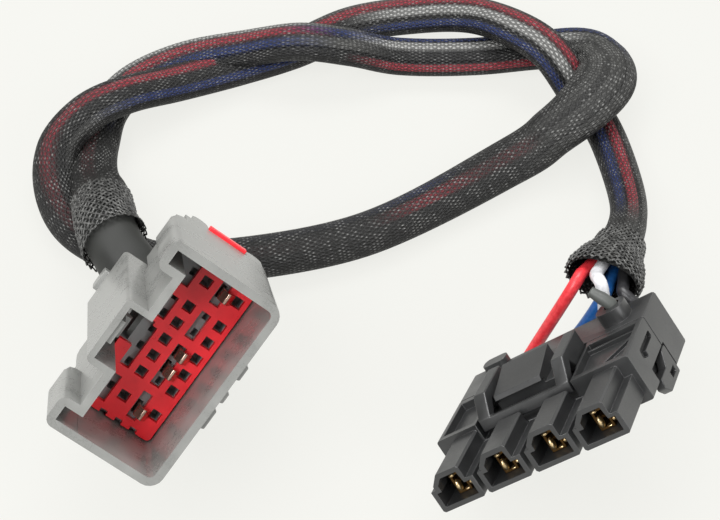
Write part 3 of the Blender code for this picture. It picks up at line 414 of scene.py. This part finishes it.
# Half width and half thickness of the sleeve, by millimetres along it
SLEEVE_SHAPE = [
    (0, 6.4, 6.2), (6, 6.3, 5.6), (16, 5.4, 3.9), (30, 5.1, 3.3), (140, 5.1, 3.2), (158, 5.8, 3.0),
    (172, 7.0, 2.9), (192, 5.9, 3.1), (236, 5.2, 3.3), (294, 5.2, 3.3), (325, 5.1, 3.2), (455, 5.1, 3.2),
    (478, 4.6, 3.4), (512, 4.4, 3.7), (520, 5.2, 3.9), (527, 7.0, 4.4), (530, 7.5, 4.6), (533, 7.2, 4.4),
]

RED = (0.30, 0.03, 0.045)
BLUE = (0.016, 0.03, 0.12)
WHITE = (0.36, 0.36, 0.35)
DARK = (0.010, 0.010, 0.011)
GREY = (0.10, 0.10, 0.096)

# Wires that press against the braid: place along the sleeve in millimetres, how much shows through, how
# much they bulge it, then each wire's angle from the left edge (0) over the top (90) and its colour
STRIPES = [
    (0, 0.0, 0.0, []),
    (28, 0.1, 0.2, [(40, GREY), (80, RED), (120, DARK), (155, DARK)]),
    (42, 0.8, 1.0, [(40, WHITE), (78, RED), (116, BLUE), (152, DARK)]),
    (82, 0.9, 1.0, [(40, WHITE), (72, RED), (108, BLUE), (150, DARK)]),
    (98, 0.9, 1.0, [(36, GREY), (66, BLUE), (104, GREY), (146, DARK)]),
    (112, 0.95, 1.0, [(38, BLUE), (74, WHITE), (110, DARK), (148, RED)]),
    (150, 0.95, 1.0, [(38, BLUE), (74, WHITE), (110, DARK), (148, RED)]),
    (158, 0.6, 0.5, [(38, BLUE), (74, GREY), (110, GREY), (148, GREY)]),
    (168, 0.5, 0.0, [(38, GREY), (74, GREY), (110, GREY), (148, GREY)]),
    (190, 0.35, 0.1, [(38, GREY), (74, GREY), (110, GREY), (148, GREY)]),
    (206, 0.08, 0.2, [(60, DARK), (90, RED), (120, DARK)]),
    (222, 0.35, 0.25, [(60, DARK), (92, RED), (128, BLUE)]),
    (240, 0.05, 0.2, [(60, DARK), (92, DARK), (128, BLUE)]),
    (305, 0.1, 0.3, [(52, DARK), (84, RED), (120, DARK)]),
    (332, 0.5, 0.8, [(40, DARK), (70, RED), (104, DARK), (140, GREY)]),
    (348, 0.9, 1.0, [(40, DARK), (72, RED), (106, DARK), (138, BLUE)]),
    (382, 0.9, 1.0, [(40, DARK), (66, RED), (100, DARK), (136, BLUE)]),
    (398, 0.8, 1.0, [(40, GREY), (70, RED), (104, DARK), (140, DARK)]),
    (415, 0.95, 1.0, [(34, GREY), (62, RED), (98, WHITE), (142, BLUE)]),
    (460, 0.95, 1.0, [(34, DARK), (64, RED), (98, WHITE), (142, BLUE)]),
    (472, 0.85, 1.0, [(36, GREY), (76, RED), (112, BLUE), (148, DARK)]),
    (498, 0.8, 1.0, [(40, GREY), (82, RED), (120, BLUE), (152, DARK)]),
    (514, 0.2, 0.4, [(40, GREY), (82, GREY), (120, DARK), (152, DARK)]),
    (550, 0.0, 0.0, []),
]
STRIPE_SPREAD = 17.0     # degrees from a wire's middle to where its colour has gone
BULGE = 0.55             # millimetres that a wire lifts the braid above the valleys beside it
PLEATS = 18
PLEAT_DEPTH = 0.28
PLEAT_SPAN = (2.0, 40.0)
SIDES = 72
RING_SPACING = 1.1


def travel_frames(points):
    """For each point of a route: the way along it, its left side in plan, and the third direction."""
    frames = []
    for index, point in enumerate(points):
        before = points[max(0, index - 1)]
        after = points[min(len(points) - 1, index + 1)]
        along = (after - before).normalized()
        left = Vector((0, 0, 1)).cross(along).normalized()
        frames.append((point, along, left, along.cross(left)))
    return frames


def stripe_tone(stripes, angle):
    """Colour under the braid and lift of the braid, at one angle round one row of stripes."""
    colour = Vector(DARK)
    lift = 0.0
    for middle, tone in stripes:
        nearness = max(0.0, 1.0 - (abs((angle - middle + 180) % 360 - 180) / STRIPE_SPREAD) ** 2)
        if nearness > 0.0:
            share = min(1.0, nearness * 1.6)
            colour = colour.lerp(Vector(tone), share)
            lift = max(lift, nearness ** 0.5)
    return colour, lift


def stripe_rows(place):
    """The two rows of STRIPES around a place, and how far it is from the first to the second."""
    for before, after in zip(STRIPES, STRIPES[1:]):
        if place <= after[0]:
            t = (place - before[0]) / (after[0] - before[0])
            return before, after, t * t * (3 - 2 * t)
    return STRIPES[-1], STRIPES[-1], 0.0


def make_sleeve(route):
    """The braided sleeve, flattened over its wires, as one tube with its weave in UV."""
    frames = travel_frames(evenly(route, RING_SPACING))
    rings, tones, covers = [], [], []
    walked = 0.0
    places = []
    for index, (point, along, left, up) in enumerate(frames):
        if index:
            walked += (point - frames[index - 1][0]).length
        places.append(walked)
        half_width, half_height = eased(SLEEVE_SHAPE, walked)
        before, after, share = stripe_rows(walked)
        show = before[1] + (after[1] - before[1]) * share
        bulge = before[2] + (after[2] - before[2]) * share
        pleat = max(0.0, 1.0 - abs(walked - PLEAT_SPAN[0] - 10.0) / (PLEAT_SPAN[1] - 20.0))
        ring, tone_ring = [], []
        for side in range(SIDES):
            angle = 360.0 * side / SIDES
            radians = math.radians(angle)
            first, first_lift = stripe_tone(before[3], angle)
            second, second_lift = stripe_tone(after[3], angle)
            lift = (first_lift + (second_lift - first_lift) * share) * bulge - bulge
            lift = lift * BULGE + PLEAT_DEPTH * pleat * math.cos(PLEATS * radians)
            across = math.copysign(abs(math.cos(radians)) ** 0.9, math.cos(radians))
            rise = math.copysign(abs(math.sin(radians)) ** 0.9, math.sin(radians))
            ring.append(point + left * (half_width + lift) * across + up * (half_height + lift) * rise)
            tone_ring.append(first.lerp(second, share))
        rings.append(ring)
        tones.append(tone_ring)
        covers.append(show)
    sleeve = rings_mesh("sleeve", rings, braid("braid"), caps=False)
    paint_sleeve(sleeve.data, tones, covers, places)
    return sleeve


def paint_sleeve(mesh, tones, covers, places):
    """Gives the tube its UV and the 'under' colours, ring by ring."""
    layer = mesh.uv_layers.new(name="weave")
    attribute = mesh.color_attributes.new(name="under", type="FLOAT_COLOR", domain="POINT")
    for ring, (tone_ring, cover) in enumerate(zip(tones, covers)):
        for side, tone in enumerate(tone_ring):
            attribute.data[ring * SIDES + side].color = (*tone, cover)
    for polygon in mesh.polygons:
        corners = [mesh.loops[loop].vertex_index for loop in polygon.loop_indices]
        wraps = any(corner % SIDES == 0 for corner in corners) and any(
            corner % SIDES == SIDES - 1 for corner in corners)
        for loop, corner in zip(polygon.loop_indices, corners):
            ring, side = divmod(corner, SIDES)
            if wraps and side == 0:
                side = SIDES
            layer.data[loop].uv = (side / SIDES, places[ring] / 100.0)


BRAID_STRANDS = 28       # of each hand, where the braid's strands are modelled
STRAND_THICKNESS = 0.42
STRAND_WEAVE = 0.16      # millimetres that a strand rises and falls as it crosses the others
LATTICE_STEP = 0.5


def make_lattice(name, frames, shape, turn, material):
    """Open braid of real strands along a stretch: shape gives half width and half height there."""
    sides = 5
    vertices, faces = [], []
    count = len(frames)
    for hand in (1, -1):
        for strand in range(BRAID_STRANDS):
            base = len(vertices)
            line = []
            for index, (point, along, left, up) in enumerate(frames):
                t = index / (count - 1)
                angle = 2 * math.pi * (strand / BRAID_STRANDS) + hand * turn * t
                half_width, half_height = shape[index]
                lift = STRAND_WEAVE * math.sin(BRAID_STRANDS * (angle * hand + turn * t)) * hand
                line.append((point + left * (half_width + lift) * math.cos(angle)
                             + up * (half_height + lift) * math.sin(angle), point))
            for index, (spot, middle) in enumerate(line):
                ahead = line[min(index + 1, count - 1)][0] - line[max(index - 1, 0)][0]
                outward = (spot - middle).normalized()
                across = ahead.cross(outward).normalized()
                outward = across.cross(ahead).normalized()
                for side in range(sides):
                    turned = 2 * math.pi * side / sides
                    offset = across * math.cos(turned) * 1.25 + outward * math.sin(turned) * 0.8
                    vertices.append(tuple((spot + offset * STRAND_THICKNESS / 2) * MM))
            for index in range(count - 1):
                low = base + index * sides
                for side in range(sides):
                    after = (side + 1) % sides
                    faces.append((low + side, low + after, low + sides + after, low + sides + side))
            faces.append(tuple(base + side for side in reversed(range(sides))))
            faces.append(tuple(base + (count - 1) * sides + side for side in range(sides)))
    return link_mesh(name, vertices, faces, material)


# ---------------------------------------------------------------- boot, cuff and mouth

BOOT_ROOT = (-3.8, 0.0, -40.7)
BOOT_RADII = (7.0, 6.0)
BOOT_SIDES = 56
CUFF_STATIONS = 10
CUFF_SLANT = 3.0         # millimetres that the cuff's edge leans back on top of the boot
CUFF_TURN = 2.3          # radians that each strand of the cuff goes round, from end to end
CUFF_REACH = 9.0         # millimetres that the cuff runs on over the sleeve
MOUTH_TURN = 2.5
MOUTH_LENGTH = 17
MOUTH_ROWS = 34


def boot_line():
    """Centres, directions and radii of the boot, in millimetres on the table, from cover to cable."""
    to_table = Matrix.Scale(1 / MM, 4) @ GREY_PLUG
    start = to_table @ Vector(BOOT_ROOT)
    end = Vector(CABLE_ROUTE[0]) + Vector(TABLE_SHIFT)
    arrival = (Vector(CABLE_ROUTE[1]) - Vector(CABLE_ROUTE[0])).normalized()
    handle = (end - start).length * 0.4
    first = start + (to_table.to_3x3() @ Vector((-0.3, 0.0, -0.95))) * handle
    second = end - arrival * handle
    stations = []
    steps = 28
    for step in range(steps + 1):
        t = step / steps
        point = ((1 - t) ** 3 * start + 3 * (1 - t) ** 2 * t * first
                 + 3 * (1 - t) * t ** 2 * second + t ** 3 * end)
        way = (1 - t) ** 2 * (first - start) + 2 * (1 - t) * t * (second - first) + t ** 2 * (end - second)
        radius = BOOT_RADII[0] + (BOOT_RADII[1] - BOOT_RADII[0]) * min(1.0, t * 1.5)
        stations.append((point, way.normalized(), radius))
    return stations


def make_boot(material):
    """Rubber boot, shrunk on: a little waisted, with a rolled edge where it ends."""
    stations = boot_line()
    rings = []
    for index, (point, along, radius) in enumerate(stations):
        across = Vector((0, 0, 1)).cross(along).normalized()
        up = along.cross(across)
        t = index / (len(stations) - 1)
        ripple = 0.10 * math.sin(t * 26.0) * (1 - t)
        ring = []
        for side in range(BOOT_SIDES):
            angle = 2 * math.pi * side / BOOT_SIDES
            size = radius + ripple + 0.08 * math.sin(5 * angle + 4 * t)
            ring.append(point + (across * math.cos(angle) + up * math.sin(angle)) * size)
        rings.append(ring)
    inner = []
    for point, along, radius in (stations[-1], stations[-3]):
        across = Vector((0, 0, 1)).cross(along).normalized()
        up = along.cross(across)
        inner.append([point + (across * math.cos(2 * math.pi * side / BOOT_SIDES)
                               + up * math.sin(2 * math.pi * side / BOOT_SIDES)) * (radius - 1.3)
                      for side in range(BOOT_SIDES)])
    boot = rings_mesh("boot", rings + inner, material)
    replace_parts(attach(boot, "harness"), "cable_boot")
    return boot


def make_cuff(route, material):
    """Open braid that is drawn over the end of the boot, from the boot's side to the sleeve."""
    lapped = [point for point, _, _ in boot_line()[-CUFF_STATIONS:]]
    line = evenly(lapped + route[1:], LATTICE_STEP)
    total_over = length_of(lapped)
    frames, shape = [], []
    walked = 0.0
    for index, row in enumerate(travel_frames(line)):
        if index:
            walked += (line[index] - line[index - 1]).length
        place = walked - total_over
        if place > CUFF_REACH:
            break
        if place < 0:
            flare = min(1.0, -place / total_over)
            size = BOOT_RADII[1] + 0.55 + 0.8 * flare ** 2
            shape.append((size, size))
            point, along, left, up = row
            leaned = up + along * CUFF_SLANT * flare / size
            row = (point + along * CUFF_SLANT * flare * 0.5, along, left, leaned)
        else:
            half_width, half_height = eased(SLEEVE_SHAPE, place)
            shape.append((half_width + 0.25, half_height + 0.25))
        frames.append(row)
    cuff = make_lattice("cuff_braid", frames, shape, CUFF_TURN, material)
    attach(cuff, "harness")
    return cuff


def make_mouth(route, material):
    """The open end of the sleeve: real strands that flare over the wires and end ragged."""
    frames = travel_frames(evenly(route, LATTICE_STEP))[-MOUTH_ROWS:]
    shape = []
    for index in range(len(frames)):
        t = index / (len(frames) - 1)
        half_width, half_height = eased(SLEEVE_SHAPE, SLEEVE_SHAPE[-1][0] - MOUTH_LENGTH * (1 - t))
        shape.append((half_width + 0.2 + 0.5 * t ** 3, half_height + 0.2 + 0.5 * t ** 3))
    mouth = make_lattice("mouth_braid", frames, shape, MOUTH_TURN, material)
    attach(mouth, "harness")
    return mouth


# ---------------------------------------------------------------- wires

WIRE_EASE = 0.3
WIRE_AXIS_Y = 3.0
CONTACT_END = -20.1      # where a wire meets its contact, along the plug
LEAD_END = -46.1         # where its straight lead behind the rear lock ends
WIRE_GAP = 0.6           # each wire's own route starts this far past the sleeve's end
WIRE_TAIL = 9.0          # how far back inside the sleeve each wire is drawn


def wire_line(tint, number, route):
    """From inside the sleeve's open end to the contact in its tower, as in the part's source."""
    to_table = Matrix.Scale(1 / MM, 4) @ BLACK_PLUG
    forward = (route[-1] - route[-2]).normalized()
    left = forward.cross(Vector((0, 0, 1))).normalized()
    aside, above, bow = WIRE_STARTS[tint]
    offset = left * aside + left.cross(forward) * above
    start = route[-1] + forward * WIRE_GAP + offset
    centre = TOWER_PITCH * number + TOWER_WIDTH / 2
    inside = to_table @ Vector((centre, WIRE_AXIS_Y, CONTACT_END))
    rear = to_table @ Vector((centre, WIRE_AXIS_Y, LEAD_END))
    inward = (inside - rear).normalized()
    reach = (rear - start).length
    before = route[-1] - forward * WIRE_TAIL + offset * 0.6
    line = [before, before.lerp(start, 0.5), start]
    for step in range(1, 17):
        t = step / 16
        line.append((1 - t) ** 3 * start + 3 * (1 - t) ** 2 * t * (start + forward * reach * WIRE_EASE)
                    + 3 * (1 - t) * t ** 2 * (rear - inward * reach * WIRE_EASE) + t ** 3 * rear
                    + Vector((0, 0, bow * math.sin(math.pi * t) ** 2)))
    line.append(rear.lerp(inside, 0.5))
    line.append(inside)
    return line


def make_wire(tint, number, route, colour):
    name = "wire_" + tint
    line = wire_line(tint, number, route)
    curve = bpy.data.curves.new(name + "_run", "CURVE")
    curve.dimensions = "3D"
    curve.bevel_depth = WIRE_DIAMETER / 2 * MM
    curve.bevel_resolution = 6
    curve.use_fill_caps = True
    spline = curve.splines.new("POLY")
    spline.points.add(len(line) - 1)
    for target, point in zip(spline.points, line):
        target.co = (*(point * MM), 1.0)
    curve.materials.append(wire_insulation(name, colour))
    wire = bpy.data.objects.new(name + "_run", curve)
    bpy.context.scene.collection.objects.link(wire)
    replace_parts(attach(wire, "harness"), name)
    return wire


# ---------------------------------------------------------------- plugs

BEVEL_ANGLE = 32.0       # edges sharper than this are rounded
SHADING_ANGLE = 40.0     # and edges sharper than this stay sharp in the shading


def refined(node, material, width):
    """A copy of a CAD node with its flat faces joined up and its sharp edges rounded a little."""
    mesh = nodes[node].data.copy()
    shape = bmesh.new()
    shape.from_mesh(mesh)
    bmesh.ops.remove_doubles(shape, verts=shape.verts, dist=0.00001)
    bmesh.ops.dissolve_limit(shape, angle_limit=math.radians(1.0), verts=shape.verts, edges=shape.edges)
    shape.to_mesh(mesh)
    shape.free()
    mesh.materials.clear()
    mesh.materials.append(material)
    piece = bpy.data.objects.new(node + "_finished", mesh)
    bpy.context.scene.collection.objects.link(piece)
    bevel = piece.modifiers.new("edges", "BEVEL")
    bevel.width = width * MM
    bevel.segments = 2
    bevel.limit_method = "ANGLE"
    bevel.angle_limit = math.radians(BEVEL_ANGLE)
    bevel.use_clamp_overlap = True
    bevel.harden_normals = False
    mesh.polygons.foreach_set("use_smooth", [True] * len(mesh.polygons))
    smooth_by_angle(piece)
    return piece


def smooth_by_angle(piece):
    """Marks edges sharper than SHADING_ANGLE, so that flat faces stay flat in the shading."""
    shape = bmesh.new()
    shape.from_mesh(piece.data)
    for edge in shape.edges:
        if len(edge.link_faces) == 2:
            edge.smooth = edge.calc_face_angle() < math.radians(SHADING_ANGLE)
    shape.to_mesh(piece.data)
    shape.free()


def finish_node(node, body, material, width=0.25):
    piece = refined(node, material, width)
    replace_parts(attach(piece, body), node)
    return piece


# Curled lead-ins at each box contact's mouth: centre from the tower's middle, then half sizes
LEAVES = [((-0.9, 5.2, -3.5), (0.8, 0.5, 0.8)), ((-0.6, 2.9, -3.2), (0.6, 1.3, 0.9)),
          ((1.9, 2.4, -3.9), (0.55, 0.6, 0.8)), ((0.5, 1.45, -3.8), (0.8, 0.3, 0.7))]


def make_leaves(material):
    """Rounded brass tips that catch the light inside the towers."""
    shape = bmesh.new()
    for number in range(TOWER_COUNT):
        middle = TOWER_PITCH * number + TOWER_WIDTH / 2
        for centre, half in LEAVES:
            shift = Matrix.Translation(Vector(centre) + Vector((middle, 0, 0)))
            place = shift @ Matrix.Diagonal((*half, 1.0))
            bmesh.ops.create_uvsphere(shape, u_segments=20, v_segments=12, radius=1.0,
                                      matrix=BLACK_PLUG @ place)
    mesh = bpy.data.meshes.new("contact_tips")
    shape.to_mesh(mesh)
    shape.free()
    mesh.materials.append(material)
    mesh.polygons.foreach_set("use_smooth", [True] * len(mesh.polygons))
    tips = bpy.data.objects.new("contact_tips", mesh)
    bpy.context.scene.collection.objects.link(tips)
    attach(tips, "harness")


def make_plugs():
    grey = moulded_plastic("grey_plastic", (0.205, 0.207, 0.198), 0.3)
    red = moulded_plastic("red_plastic", (0.86, 0.018, 0.028), 0.34)
    dark_grey = moulded_plastic("dark_grey_plastic", (0.23, 0.24, 0.24), 0.45)
    black = moulded_plastic("black_plastic", (0.016, 0.0165, 0.017), 0.40, grain=0.15, specular=0.85)
    copper = stamped_metal("copper", (0.72, 0.50, 0.40))
    # Painted shade: the receptacles' brass is made very dark and dull to stand in for the shade deep inside the
    # towers; bright_brass, used for the contact tips, keeps the brass's own colour.
    brass = stamped_metal("brass", (0.15, 0.085, 0.03), 0.5)
    for node in ("shroud", "rear_cover"):
        finish_node(node, "harness", grey)
    finish_node("lock_plate", "harness", red, 0.15)
    finish_node("lock_slide", "lock_slide", red, 0.2)
    finish_node("lock_lever", "lock_lever", grey)
    finish_node("terminal_body", "harness", dark_grey, 0.1)
    for number in range(1, TOWER_COUNT + 1):
        finish_node(f"plug_terminal_{number}", "harness", copper, 0.08)
        finish_node(f"receptacle_{number}", "harness", brass, 0.05)
    make_leaves(stamped_metal("bright_brass", (1.0, 0.76, 0.42), 0.3))
    finish_node("plug_housing", "harness", black)
    finish_node("latch_frame", "latch_frame", black)
    finish_node("rear_lock", "rear_lock", black)
    finish_node("side_latch", "side_latch", black)
    rubber = moulded_plastic("peg_rubber", (0.07, 0.075, 0.07), 0.5)
    finish_node("wire_peg", "rear_lock", rubber, 0.2)


def main():
    make_camera()
    make_studio()
    start_step = (Vector(CABLE_ROUTE[1]) - Vector(CABLE_ROUTE[0])).normalized() * ROUTE_GAP
    route = shifted([Vector(CABLE_ROUTE[0]) + start_step] + [Vector(point) for point in CABLE_ROUTE[1:]])
    route = smooth_route(route, RING_SPACING)
    sleeve = make_sleeve(route)
    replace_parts(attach(sleeve, "harness"), "braided_cable")
    strands = monofilament("monofilament")
    cuff = make_cuff(route, strands)
    mouth = make_mouth(route, strands)
    make_boot(moulded_plastic("boot_rubber", (0.024, 0.025, 0.023), 0.6, grain=0.2, specular=0.35))
    tints = [("red", (0.68, 0.03, 0.04)), ("blue", (0.008, 0.085, 0.29)), ("white", (0.62, 0.62, 0.64)),
             ("black", (0.02, 0.02, 0.022))]
    for number, (tint, colour) in enumerate(tints):
        make_wire(tint, number, route, colour)
    make_plugs()


main()
